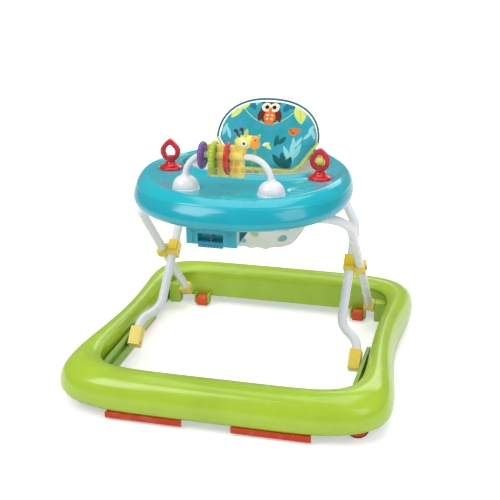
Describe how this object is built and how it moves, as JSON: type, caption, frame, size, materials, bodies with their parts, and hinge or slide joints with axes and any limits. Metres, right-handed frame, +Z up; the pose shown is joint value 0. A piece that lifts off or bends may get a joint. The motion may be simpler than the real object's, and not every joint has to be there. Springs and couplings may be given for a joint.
{
  "type": "baby walker",
  "caption": "Folding wheeled baby walker with a moulded ring base, crossed tube legs, a toy tray and a padded fabric seat.",
  "frame": {"origin": "on the floor under the centre of the base ring", "axes": "+X across the walker, +Y from the front towards the back, +Z up"},
  "size_m": [0.6694, 0.686, 0.5583],
  "materials": {
    "base_green": "gloss",
    "track_green": "satin",
    "stop_red": "matte",
    "wheel_orange": "satin",
    "tyre_dark": "matte",
    "steel": "satin",
    "tube_white": "gloss",
    "clip_yellow": "gloss",
    "tray_teal": "gloss",
    "tray_under": "gloss",
    "latch_teal": "satin",
    "seat_cloth": "matte",
    "back_cloth": "matte",
    "board_white": "matte",
    "toy_white": "gloss",
    "toy_purple": "gloss",
    "toy_lime": "gloss",
    "toy_red": "gloss",
    "toy_yellow": "gloss"
  },
  "bodies": {
    "base": {"base_shell": "base_green", "slide_track_left": "track_green", "slide_track_right": "track_green", "pivot_bracket_left": "base_green", "pivot_bracket_right": "base_green", "front_stop_pads": "stop_red", "side_stop_pads": "stop_red", "roller_forks": "base_green", "roller_axles": "steel", "caster_sockets": "track_green", "base_screws": "steel"},
    "caster_left": {"caster_yoke_left": "wheel_orange"},
    "caster_right": {"caster_yoke_right": "wheel_orange"},
    "front_wheel_left": {"caster_wheel_left": "wheel_orange", "caster_tyre_left": "tyre_dark", "caster_axle_left": "steel"},
    "front_wheel_right": {"caster_wheel_right": "wheel_orange", "caster_tyre_right": "tyre_dark", "caster_axle_right": "steel"},
    "rear_wheel_left": {"rear_roller_left": "wheel_orange"},
    "rear_wheel_right": {"rear_roller_right": "wheel_orange"},
    "rear_leg": {"rear_leg_tube": "tube_white", "rear_foot_left": "clip_yellow", "rear_foot_right": "clip_yellow", "rear_foot_pins": "steel", "rear_leg_clip_left": "clip_yellow", "rear_leg_clip_right": "clip_yellow", "cross_rivets": "steel"},
    "front_leg": {"front_leg_tube": "tube_white", "front_foot_left": "clip_yellow", "front_foot_right": "clip_yellow", "slide_pins": "steel", "front_leg_clip_left": "clip_yellow", "front_leg_clip_right": "clip_yellow"},
    "tray": {"tray_top": "tray_teal", "tray_bottom": "tray_under", "tray_screws": "steel", "rear_hinge_left": "latch_teal", "rear_hinge_right": "latch_teal", "latch_housing": "latch_teal", "latch_spring": "steel", "seat_sling": "seat_cloth", "seat_back_board": "board_white", "seat_back_pad": "back_cloth", "toy_bar": "toy_white", "bar_dome_left": "toy_white", "bar_dome_right": "toy_white", "spinner_base_left": "toy_red", "spinner_base_right": "toy_red"},
    "latch": {"squeeze_latch": "latch_teal"},
    "purple_ring": {"purple_ring": "toy_purple"},
    "lime_ring": {"lime_ring": "toy_lime"},
    "red_ring": {"red_ring": "toy_red"},
    "giraffe": {"giraffe_body": "toy_yellow", "giraffe_head": "toy_yellow"},
    "spinner_left": {"spinner_loop_left": "toy_red"},
    "spinner_right": {"spinner_loop_right": "toy_red"},
    "bead": {"loop_bead": "toy_yellow"}
  },
  "joints": [
    {"name": "fold", "type": "hinge", "parent": "base", "child": "rear_leg", "pos_m": [0, 0.222, 0.05], "axis": [1, 0, 0], "range_deg": [0, 39]},
    {"name": "leg_cross", "type": "hinge", "parent": "rear_leg", "child": "front_leg", "pos_m": [0, 0.066, 0.206], "axis": [1, 0, 0], "range_deg": [-79, 1]},
    {"name": "tray_level", "type": "hinge", "parent": "front_leg", "child": "tray", "pos_m": [0, 0.222, 0.362], "axis": [1, 0, 0], "range_deg": [-1, 40]},
    {"name": "caster_swivel_left", "type": "hinge", "parent": "base", "child": "caster_left", "pos_m": [-0.272, -0.282, 0.05], "axis": [0, 0, 1], "continuous": true},
    {"name": "caster_swivel_right", "type": "hinge", "parent": "base", "child": "caster_right", "pos_m": [0.272, -0.282, 0.05], "axis": [0, 0, 1], "continuous": true},
    {"name": "front_wheel_left_spin", "type": "hinge", "parent": "caster_left", "child": "front_wheel_left", "pos_m": [-0.272, -0.277, 0.021], "axis": [1, 0, 0], "continuous": true},
    {"name": "front_wheel_right_spin", "type": "hinge", "parent": "caster_right", "child": "front_wheel_right", "pos_m": [0.27683, -0.28071, 0.021], "axis": [0.2588, -0.9659, 0], "continuous": true},
    {"name": "rear_wheel_left_spin", "type": "hinge", "parent": "base", "child": "rear_wheel_left", "pos_m": [-0.188, 0.2485, 0.0135], "axis": [1, 0, 0], "continuous": true},
    {"name": "rear_wheel_right_spin", "type": "hinge", "parent": "base", "child": "rear_wheel_right", "pos_m": [0.188, 0.2485, 0.0135], "axis": [1, 0, 0], "continuous": true},
    {"name": "latch_squeeze", "type": "slide", "parent": "tray", "child": "latch", "axis": [0, 0, 1], "range_m": [0, 0.005], "stiffness_N_per_m": 400, "deforming": ["latch_spring"]},
    {"name": "purple_ring_spin", "type": "hinge", "parent": "tray", "child": "purple_ring", "pos_m": [-0.049, -0.179, 0.5012], "axis": [1, 0, 0], "continuous": true},
    {"name": "lime_ring_spin", "type": "hinge", "parent": "tray", "child": "lime_ring", "pos_m": [-0.026, -0.179, 0.4987], "axis": [1, 0, 0], "continuous": true},
    {"name": "red_ring_spin", "type": "hinge", "parent": "tray", "child": "red_ring", "pos_m": [0.001, -0.179, 0.4987], "axis": [1, 0, 0], "continuous": true},
    {"name": "giraffe_tilt", "type": "hinge", "parent": "tray", "child": "giraffe", "pos_m": [0, -0.179, 0.503], "axis": [1, 0, 0], "range_deg": [-20, 20]},
    {"name": "spinner_left_turn", "type": "hinge", "parent": "tray", "child": "spinner_left", "pos_m": [-0.153, -0.06, 0.4695], "axis": [0, 0, 1], "continuous": true},
    {"name": "spinner_right_turn", "type": "hinge", "parent": "tray", "child": "spinner_right", "pos_m": [0.153, -0.06, 0.4695], "axis": [0, 0, 1], "continuous": true},
    {"name": "bead_spin", "type": "hinge", "parent": "spinner_right", "child": "bead", "pos_m": [0.153, -0.06, 0.4695], "axis": [0, 0, 1], "continuous": true}
  ],
  "couplings": [
    {"joint": "leg_cross", "follows": "fold", "ratio": -2},
    {"joint": "tray_level", "follows": "fold", "ratio": 1}
  ]
}
